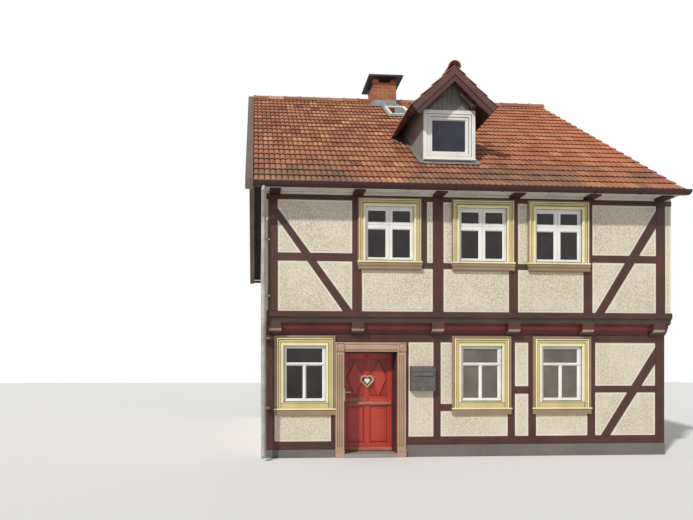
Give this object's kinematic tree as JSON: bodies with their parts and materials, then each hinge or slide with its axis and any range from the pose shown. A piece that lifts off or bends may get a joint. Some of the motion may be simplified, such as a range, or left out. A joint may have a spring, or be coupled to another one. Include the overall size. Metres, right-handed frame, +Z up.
{
  "type": "half timbered house",
  "caption": "Two storey half timbered town house with a jettied upper floor, tiled gable roof, dormer, chimney and a hinged front door.",
  "frame": {"origin": "ground level under the middle of the ground floor, midway between the party walls and midway between the front and rear wall faces", "axes": "+X along the street front to the right seen from the street, +Y from the street into the house, +Z up"},
  "size_m": [7.92, 9.422, 9.2318],
  "materials": {
    "stone": "weathered stone",
    "wall_render": "float finished lime render",
    "roughcast": "cream roughcast plaster",
    "oak_paint": "dark red brown linseed paint on oak",
    "red_boards": "dark red paint",
    "floor_boards": "bare spruce boards",
    "casing_paint": "cream and straw yellow paint",
    "sash_paint": "white gloss paint",
    "window_glass": "clear window glass",
    "surround_paint": "tan paint",
    "door_frame_paint": "dark red brown paint",
    "iron": "wrought iron",
    "door_paint": "red satin paint",
    "steel_handle": "satin steel",
    "wreath": "pale wickerwork",
    "mailbox_metal": "dark grey paint",
    "eaves_paint": "off white paint",
    "clay_tiles": "fired clay, weathered",
    "verge_trim": "grey lime mortar",
    "dormer_boards": "grey stain",
    "dormer_timber": "brown paint",
    "brick": "red brown brick",
    "cap_slab": "dark slab",
    "gutter_paint": "red brown paint",
    "zinc": "weathered zinc"
  },
  "bodies": {
    "house": {"plinth": "stone", "ground_floor": "stone", "threshold": "stone", "left_party_wall": "wall_render", "right_party_wall": "wall_render", "ground_infill": "roughcast", "upper_infill": "roughcast", "rear_infill": "roughcast", "ground_frame": "oak_paint", "lower_plate": "oak_paint", "floor_beams": "oak_paint", "upper_sill": "oak_paint", "upper_frame": "oak_paint", "attic_beams": "oak_paint", "rear_frame": "oak_paint", "front_rafters": "oak_paint", "rear_rafters": "oak_paint", "fill_timbers": "red_boards", "upper_floor": "floor_boards", "attic_floor": "floor_boards", "window_casings": "casing_paint", "window_sashes": "sash_paint", "dormer_window": "sash_paint", "roof_window": "sash_paint", "window_glass": "window_glass", "dormer_glass": "window_glass", "door_surround": "surround_paint", "door_frame": "door_frame_paint", "door_pintles": "iron", "mailbox": "mailbox_metal", "eaves_boards": "eaves_paint", "front_roof": "clay_tiles", "rear_roof": "clay_tiles", "ridge_tiles": "clay_tiles", "dormer_roof": "clay_tiles", "verge_bands": "verge_trim", "dormer_walls": "dormer_boards", "dormer_trim": "dormer_timber", "chimney": "brick", "chimney_cap": "cap_slab", "gutters": "gutter_paint", "downpipe": "zinc"},
    "door": {"door_leaf": "door_paint", "door_straps": "iron", "door_handle": "steel_handle", "door_wreath": "wreath"}
  },
  "joints": [
    {"name": "door_hinge", "type": "hinge", "parent": "house", "child": "door", "pos_m": [-1.369, -3.801, 0.99], "axis": [0, 0, -1], "range_deg": [0, 95]}
  ]
}
